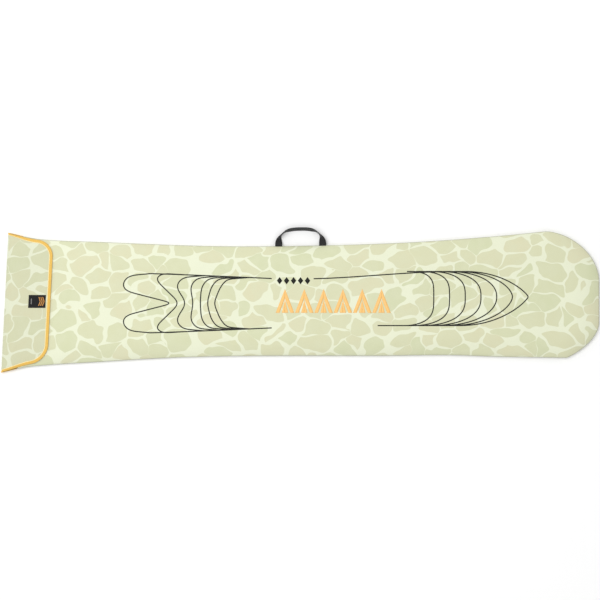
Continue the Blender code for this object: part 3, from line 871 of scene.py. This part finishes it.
def flap_outline(first):
    """The flap's outline in plan, from the upper end of the fold line round its free edge to the lower."""
    sides = []
    for upper, radius in ((True, UPPER_CORNER), (False, LOWER_CORNER)):
        arc = FLAP_LENGTH - radius + radius * np.sin(np.pi / 2 * np.linspace(0, 1, 40))
        e = np.concatenate([np.arange(first, FLAP_LENGTH - radius, 2.5 * MM), arc])
        y = flap_side(e, upper)
        sides.append(np.column_stack([fold_x(y) + e, y]))
    end = sides[0][-1] + (sides[1][-1] - sides[0][-1]) * np.linspace(0, 1, 40)[1:-1, None]
    return resampled(np.vstack([sides[0], end, sides[1][::-1]]), 2.5 * MM)


def row_path(e, margin):
    """A line across the bag at a distance e from the fold line, ending this far inside the two edges."""
    x, y = body_plan(np.array([FOLD_LOWER[0] + e]), np.linspace(0, 1, 200))
    keep = to_seam(x[0], y[0])[0] > margin
    return np.column_stack([x[0], y[0]])[keep]


def bindings(orange, orange_thread, painted_seam_shade, tape):
    """The folded tapes round the flap and the mouth, their stitches, the seam's edge, a darker grey tube that
    is painted shade along the seam, and its inner tape.
    """
    outline = flap_outline(3 * MM)
    e = outline[:, 0] - fold_x(outline[:, 1])
    at_fold = np.where(outline[:, 1] > 0, 0.5, 0.75)
    narrowing = at_fold + (1 - at_fold) * eased(e, 0.0, 75 * MM)
    row = row_path(MOUTH - 0.6 * MM, 3 * MM)
    for name, body, path, height, narrowed, margin in (
        ("flap", "flap", outline, flap_height, narrowing, 1.6 * MM),
        ("mouth", "bag", row, front_height, np.ones(len(row)), 1.8 * MM),
    ):
        rings = edge_rings(path, bind_section(BINDING), height, narrowed)
        piece = tube_piece(f"{name}_edge_binding", [rings], orange)
        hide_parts(f"{name}_binding")
        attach(piece, body)
        place = path + ((BINDING * narrowed)[:, None] - margin) * inward_of(path)
        seam = np.column_stack([place, height(*place.T) + (TAPE_WALL + 0.07 * MM)])
        seam = seam[3:-3] if name == "flap" else seam
        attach(stitch_piece(f"{name}_binding_stitches", seam, orange_thread), body)

    for name in ("upper", "lower"):
        piece = tube_piece(f"fold_edge_binding_{name}", [fold_binding(name == "upper")], orange)
        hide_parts(f"fold_binding_{name}")
        blended(piece)

    # A darker grey tube along the seam: painted shade along the sewn edge.
    seam = resampled(seam_points(MOUTH - 1 * MM), 4 * MM)
    line = np.column_stack([seam, np.full(len(seam), SEAM_Z - 0.05 * MM)])
    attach(tube_piece("seam_edge_painted_shade", [round_rings(line, 0.95 * MM, 8, 0.8)], painted_seam_shade), "bag")

    inner = resampled(seam_points(MOUTH + 16 * MM), 6 * MM)
    section = MM * np.array([(6.5, 1.1), (11.0, 1.1), (11.0, 2.1), (8.75, 2.25), (6.5, 2.1)])
    rings = edge_rings(inner, section, lambda x, y: np.full(np.shape(x), SEAM_Z))
    piece = tube_piece("seam_cover_tape", [rings], tape)
    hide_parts("seam_tape")
    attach(piece, "bag")


FOLD_SECTION = (
    (5.5, 0.1), (5.2, 0.5), (2.5, 0.6), (0.4, 0.62), (-0.6, 0.2),
    (-0.9, -0.5), (-0.6, -1.2), (0.4, -1.6), (5.2, -1.5),
)


def fold_binding(upper):
    """Rings of the binding on the back panel's edge from the mouth, carried round the fold to the flap."""
    fold, edge_of, side = (FOLD_UPPER, upper_edge, 1.0) if upper else (FOLD_LOWER, lower_edge, -1.0)
    back_e = np.append(np.arange(43, 23, -5) * MM, FOLD_STEPS[10:0:-1])
    flap_e = np.array([0.0, *FOLD_STEPS[1:5], 5 * MM])
    rings = []
    for e_values, height, way in ((back_e, back_height, -1.0), (flap_e, flap_height, 1.0)):
        for e in e_values:
            edge = float(edge_of(fold[0] + e))
            lift = float(eased(e, 0.0, 3 * MM))
            ring = []
            for into, out in FOLD_SECTION:
                y = edge - side * into * MM
                inset = edge - side * max(into, 0.05) * MM
                z = float(height(np.array([float(fold_x(inset)) + e]), np.array([inset]))[0])
                z += way * lift * out * MM
                if way < 0 and e > 3 * MM:
                    z = min(z, BLEND_LOW_Z)
                ring.append((float(fold_x(y)) + e - (1 - lift) * out * MM, y, z))
            rings.append(ring)
    return np.array(rings)


# ---- tapes and label

def on_strip(box, height, shape, above):
    """Points given as shares of the width and length of a strip along the fold line, laid on it."""
    low, high = box
    lean = fold_x(high.y) - fold_x(low.y)
    share = np.asarray(shape, float)
    y = low.y + share[..., 1] * (high.y - low.y)
    x = fold_x(y) + (low.x - fold_x(low.y)) + share[..., 0] * (high.x - low.x - lean)
    return np.stack([x, y, height(x, y) + above], axis=2)


def strip_points(box, height, above, rows=9, columns=60):
    """A grid over a strip that lies along the fold line, from a CAD node's box."""
    shares = np.meshgrid(np.linspace(0, 1, rows), np.linspace(0, 1, columns), indexing="ij")
    return on_strip(box, height, np.stack(shares, axis=2), above)


def closures(tape, hooks_stuff, stitches):
    """The two halves of the hook-and-loop closure: woven tapes, their hooks and loops, and their stitches."""
    hook_box, loop_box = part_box("hook_tape"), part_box("loop_tape")
    for name, box, height, above, sign, body, node in (
        ("hook_tape_base", hook_box, flap_height, -2.1 * MM, -1.0, "flap", "hook_tape"),
        ("loop_tape_base", loop_box, front_height, 0.75 * MM, 1.0, "bag", "loop_tape"),
    ):
        thick = 0.5 * MM
        piece = sheet_piece(name, strip_points(box, height, above), thick, tape)
        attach(piece, body)
        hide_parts(node)
        face = above - (thick if sign < 0 else 0.0)
        grid = strip_points(box, height, face, rows=14, columns=121)[1:-1, 1:-1]
        tubes = []
        for i, row in enumerate(grid):
            for j, spot in enumerate(row):
                shift = 0.25 * MM if (i + j) % 2 else -0.25 * MM
                tubes.append(hook_rings(spot + (shift, 0.0, 0.0), sign))
        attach(tube_piece(name.replace("_base", "_pile"), tubes, hooks_stuff), body)
        if sign < 0:
            continue
        edges = strip_points(box, height, above + 0.1 * MM)
        for k, inset in ((1, 0.08), (2, 0.92)):
            path = edges[0] * (1 - inset) + edges[-1] * inset
            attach(stitch_piece(f"loop_tape_stitches_{k}", path, stitches), body)


def hook_rings(spot, sign):
    """Rings of one tiny hook below its tape, or of one loop above it."""
    hooked, size = sign < 0, 0.16 * MM
    reach = 0.75 * MM if hooked else 0.65 * MM
    if hooked:
        path = [(0, 0, 0), (0, 0, 0.6), (0.25, 0, 0.95), (0.6, 0, 0.8)]
    else:
        path = [(-0.5, 0, 0), (-0.4, 0.1, 0.7), (0.0, 0.2, 1.0), (0.4, 0.1, 0.7), (0.5, 0, 0)]
    path = np.array(path) * (reach, reach, sign * reach)
    ring = np.array([(size, 0.0), (-size / 2, size), (-size / 2, -size)])
    rings = []
    for k, point in enumerate(path):
        way = unit(path[min(k + 1, len(path) - 1)] - path[max(k - 1, 0)])
        side = unit(np.cross(way, (0.0, 1.0, 0.0)))
        rings.append([spot + point + a * side + b * np.array((0.0, 1.0, 0.0)) for a, b in ring])
    return rings


def label(cloth, orange_thread, grey_thread, black_thread):
    """The woven label on the flap, with a plain woven device of chevrons and a short grey line."""
    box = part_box("flap_label")
    top = 0.85 * MM
    piece = sheet_piece("flap_woven_label", strip_points(box, flap_height, top, 13, 13), 0.7 * MM, cloth)
    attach(piece, "flap")
    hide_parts("flap_label")
    t = np.linspace(0, 1, 9)
    bars = []
    for k in range(3):
        start = 0.57 + 0.11 * k
        for half in (-1, 1):
            y = 0.5 + half * 0.34 * t
            x = start + 0.09 * (1 - t)
            bars.append(np.stack([np.column_stack([x, y]), np.column_stack([x + 0.06, y])], axis=1))
    raised = top + 0.12 * MM
    tubes = [flat_rings(on_strip(box, flap_height, bar, raised)) for bar in bars]
    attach(tube_piece("label_device", tubes, orange_thread), "flap")
    line = [[(0.14, y), (0.19, y)] for y in np.linspace(0.28, 0.72, 9)]
    rings = flat_rings(on_strip(box, flap_height, line, top + 0.1 * MM))
    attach(tube_piece("label_line", [rings], grey_thread), "flap")
    corners = np.array([(0.04, 0.05), (0.96, 0.05), (0.96, 0.95), (0.04, 0.95), (0.04, 0.05)])
    border = resampled(np.column_stack([corners * (48, 36), np.zeros(5)]), 1.0)[:, :2] / (48, 36)
    path = on_strip(box, flap_height, border[None], raised)[0]
    sizes = {"pitch": 2.6 * MM, "length": 2.0 * MM, "radius": 0.22 * MM}
    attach(stitch_piece("label_stitches", path, black_thread, **sizes), "flap")


def flat_rings(pairs):
    """Rings of a flat bar from pairs of points along its two sides."""
    pairs = np.asarray(pairs)
    drop = np.array((0.0, 0.0, 0.35 * MM))
    return np.stack([pairs[:, 0], pairs[:, 1], pairs[:, 1] - drop, pairs[:, 0] - drop], axis=1)


# ---- the print

class Cloth:
    """Finds the height of the finished front panel, for what is printed on it."""

    def __init__(self, points):
        faces = quads_of(*points.shape[:2])
        self.tree = BVHTree.FromPolygons(points.reshape(-1, 3).tolist(), faces.tolist())

    def height(self, x, y):
        spots = zip(np.ravel(x), np.ravel(y))
        found = [self.tree.ray_cast(Vector((a, b, 0.2)), Vector((0, 0, -1)))[0] for a, b in spots]
        return np.array([spot.z for spot in found]).reshape(np.shape(x))


def line_rings(path, width, cloth):
    """Rings of a printed line: a very thin ribbon that follows the cloth."""
    path = resampled(path, 3 * MM)
    side = inward_of(path)
    shares = (-1.0, -0.55, 0.0, 0.55, 1.0)
    places = [path + share * width / 2 * side for share in shares]
    rise = (0.02, 0.14, 0.16, 0.14, 0.02)
    top = [np.column_stack([place, cloth.height(*place.T) + up * MM]) for place, up in zip(places, rise)]
    low = [edge - (0.0, 0.0, 0.25 * MM) for edge in (top[-1], top[0])]
    return np.stack(top + low, axis=1)


def rounded(corners, length):
    """A path through these corners, with each one rounded off over about this length."""
    step = 1 * MM
    path = resampled(corners, step)
    reach = int(length / step / 2)
    for _ in range(2):
        before, after = 2 * path[0] - path[reach:0:-1], 2 * path[-1] - path[-2:-reach - 2:-1]
        sums = np.cumsum(np.vstack([np.zeros((1, 2)), before, path, after]), axis=0)
        path = (sums[2 * reach + 1:] - sums[:-2 * reach - 1]) / (2 * reach + 1)
    return path


def board_ends():
    """Nested outlines of board ends: rounded noses to the right of the middle, tails to the left."""
    lines, nested = [], 7
    noses_y, nose_half_width, merge_x = 4 * MM, 75.5 * MM, 0.452
    angle = np.linspace(0, np.pi, 70)
    for k in range(nested):
        tip = 0.638 - 0.044 * k
        merge = merge_x - 0.0255 * k
        roundness = 1.25 + 0.45 * k
        x = merge + (tip - merge) * np.sin(angle) ** (2 / 2.1)
        y = np.sign(np.cos(angle)) * np.abs(np.cos(angle)) ** (2 / roundness)
        lines.append(np.column_stack([x, noses_y + nose_half_width * y + 5 * MM * np.sin(angle)]))
    x = np.linspace(0.038, merge_x, 60)
    lines.append(np.column_stack([x, 59 * MM + 20.5 * MM * eased(x, 0.0, 0.43)]))
    x = np.linspace(0.217, merge_x, 40)
    lines.append(np.column_stack([x, np.full(40, noses_y - nose_half_width)]))

    tails_y = -9 * MM

    def half(x):
        return 83.5 * MM - 14.5 * MM * np.clip((x + 0.45) / 0.371, 0.0, 1.0) ** 1.2

    for k in range(nested):
        notch = -0.355 + 0.019 * k
        lobe = notch - 0.141 * 0.5**k + 0.004 * k
        merge = lobe + 0.078
        tip = 0.86 if k == 1 else 0.62
        corners = [(merge, 1.0), (lobe + 0.014, 0.62 + 0.5 * tip), (lobe - 0.004, tip)]
        if k == 0:
            corners.append((lobe + 0.006, 0.42))
        corners.append((notch, 0.0))
        side = [(x, half(merge) * y) for x, y in corners]
        outline = np.array(side + [(x, -y) for x, y in side[-2::-1]])
        lines.append(rounded(outline, 34 * MM - 2 * MM * k) + (0.0, tails_y))
    for sign in (1.0, -1.0):
        x = np.linspace(-0.418, -0.079, 60)
        lines.append(np.column_stack([x, tails_y + sign * half(x)]))
    return lines


def bar_between(left, right, y, cloth):
    """Rings of a flat printed bar between two sides that share their y."""
    pairs = np.stack([np.column_stack([left, y]), np.column_stack([right, y])], axis=1)
    z = cloth.height(pairs[..., 0], pairs[..., 1]) + 0.15 * MM
    return flat_rings(np.concatenate([pairs, z[..., None]], axis=2))


def prints(cloth, black_ink, orange_ink):
    """What is printed on the front: nested outlines, a row of orange peaks, and five small diamonds."""
    tubes = [line_rings(path, 3.3 * MM, cloth) for path in board_ends()]
    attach(tube_piece("printed_outlines", tubes, black_ink), "bag")

    bars, stroke = [], 10.5 * MM
    low, high, left, pitch = -36 * MM, 31 * MM, -66 * MM, 54 * MM
    t = np.linspace(0, 1, 14)
    for k in range(6):
        middle = left + pitch * k + 24 * MM
        for top, half, most in ((high, 26 * MM, stroke), (high - 31 * MM, 9 * MM, 9 * MM)):
            for sign in (-1, 1):
                x = middle + sign * half * t
                y = top - t * (top - low)
                bars.append(bar_between(x, x - sign * np.minimum(most, half * t), y, cloth))
    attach(tube_piece("printed_peaks", bars, orange_ink), "bag")

    t = np.linspace(-1, 1, 9)
    half = 7.5 * MM * (1 - np.abs(t)) + 0.2 * MM
    y = 54 * MM + 10 * MM * t
    middles = [-57 * MM + 19.5 * MM * k for k in range(5)]
    diamonds = [bar_between(middle - half, middle + half, y, cloth) for middle in middles]
    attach(tube_piece("printed_diamonds", diamonds, black_ink), "bag")


# ---- the handle

def handle(webbing):
    """The carry loop: one webbing that turns edge on at its bends, with its ends sewn into the seam."""
    half_width, thick = 10 * MM, 1.8 * MM
    low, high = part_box("handle_webbing")
    left_x, right_x = low.x + half_width, high.x - half_width
    middle_x, out_y, level_z = SWING_JOINT["pos_m"]
    lean = SWING_JOINT["axis"][1] / SWING_JOINT["axis"][0]
    power, reach, lift = 2 / 2.8, 46.2 * MM, 1.9 * MM
    angle = np.linspace(0, np.pi, 97)
    across = -np.sign(np.cos(angle)) * np.abs(np.cos(angle)) ** power
    rise = np.maximum(np.sin(angle), 0.0) ** power
    half = (right_x - left_x) / 2
    x = (left_x + right_x) / 2 + across * half - rise * reach * lean
    y = out_y + (x - middle_x) * lean + rise * reach
    path = resampled(np.column_stack([x, y, level_z + rise * lift]), 2.2 * MM)
    root = 9 * MM
    sewn = np.outer(np.linspace(root, 1.5 * MM, 5), (0.0, 1.0, 0.0))
    path = np.vstack([path[0] - sewn, path, path[-1] - sewn[::-1]])
    so_far = walked(path) - root
    from_end = np.minimum(so_far, so_far[-1] - root - so_far)
    corner = math.radians(86) * eased(from_end, 0.0, 36 * MM)
    turn = corner - math.radians(20) * eased(from_end, 38 * MM, 62 * MM)
    along = np.gradient(path, axis=0)
    along[:6], along[-6:] = (0.0, 1.0, 0.0), (0.0, -1.0, 0.0)
    level = unit(np.column_stack([along[:, 1], -along[:, 0], np.zeros(len(along))]))
    up = np.array((0.0, 0.0, 1.0))
    wide = np.cos(turn)[:, None] * level - np.sin(turn)[:, None] * up
    thin = np.sin(turn)[:, None] * level + np.cos(turn)[:, None] * up
    section = webbing_section(half_width, thick / 2)
    rings = path[:, None] + section[None, :, :1] * wide[:, None] + section[None, :, 1:] * thin[:, None]
    piece = tube_piece("handle_loop", [rings], webbing)
    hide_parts("handle_webbing", "handle_tab_left", "handle_tab_right")
    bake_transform(piece)


def webbing_section(half, thick, cords=8):
    """The section of the webbing: rounded edges, and shallow ribs across its two faces."""
    face = np.linspace(-half + thick, half - thick, 4 * cords + 1)
    ribs = thick * (0.93 + 0.07 * np.cos(2 * np.pi * np.arange(4 * cords + 1) / 4))
    edge = np.linspace(np.pi / 2, -np.pi / 2, 7)[1:-1]
    top = np.column_stack([face, ribs])
    right = np.column_stack([half - thick + thick * np.cos(edge), thick * np.sin(edge)])
    return np.vstack([top, right, -top, -right])


# ---- all

def main():
    studio()
    cloth = printed_cloth("printed cloth", shade=0.93)
    # The back and flap take the same printed cloth with a lower shade: painted shade that darkens the flap.
    back_cloth_painted_shade = printed_cloth("printed back cloth with painted shade", shade=0.84)
    lining = lining_cloth("ripstop lining")
    foam = foam_stuff("padding foam")
    # cream is the painted highlight along the orange binding's inner edge.
    cream = linear(250, 234, 176)
    orange = ribbed_tape("orange binding tape", linear(240, 200, 104), linear(218, 168, 68), cream)
    black_tape = ribbed_tape("black tape", (0.035, 0.035, 0.038), (0.012, 0.012, 0.014))
    # The seam edge's darker grey is painted shade along the seam.
    painted_seam_shade = ribbed_tape("seam edge cloth, painted shade", linear(190, 192, 166), linear(158, 160, 138))
    # The binding's stitches are cream: a real thread colour that also paints the highlight along the
    # binding's inner edge.
    orange_thread = thread("cream thread", linear(252, 238, 190), linear(226, 196, 130))
    grey_thread = thread("grey thread", linear(150, 148, 144), linear(96, 94, 92))
    black_thread = thread("black thread", (0.05, 0.05, 0.052), (0.015, 0.015, 0.017))
    device_thread = thread("label thread", linear(214, 150, 66), linear(168, 112, 48))
    webbing = handle_cloth("black herringbone webbing")
    black_ink = ink("black ink", linear(20, 22, 18), linear(62, 64, 54))
    orange_ink = ink("orange ink", linear(247, 195, 118), linear(240, 205, 150))

    front = panels(cloth, back_cloth_painted_shade, lining, foam)
    bindings(orange, orange_thread, painted_seam_shade, black_tape)
    closures(black_tape, black_thread, black_thread)
    label(label_cloth("woven label"), device_thread, grey_thread, black_thread)
    prints(Cloth(front), black_ink, orange_ink)
    handle(webbing)


main()
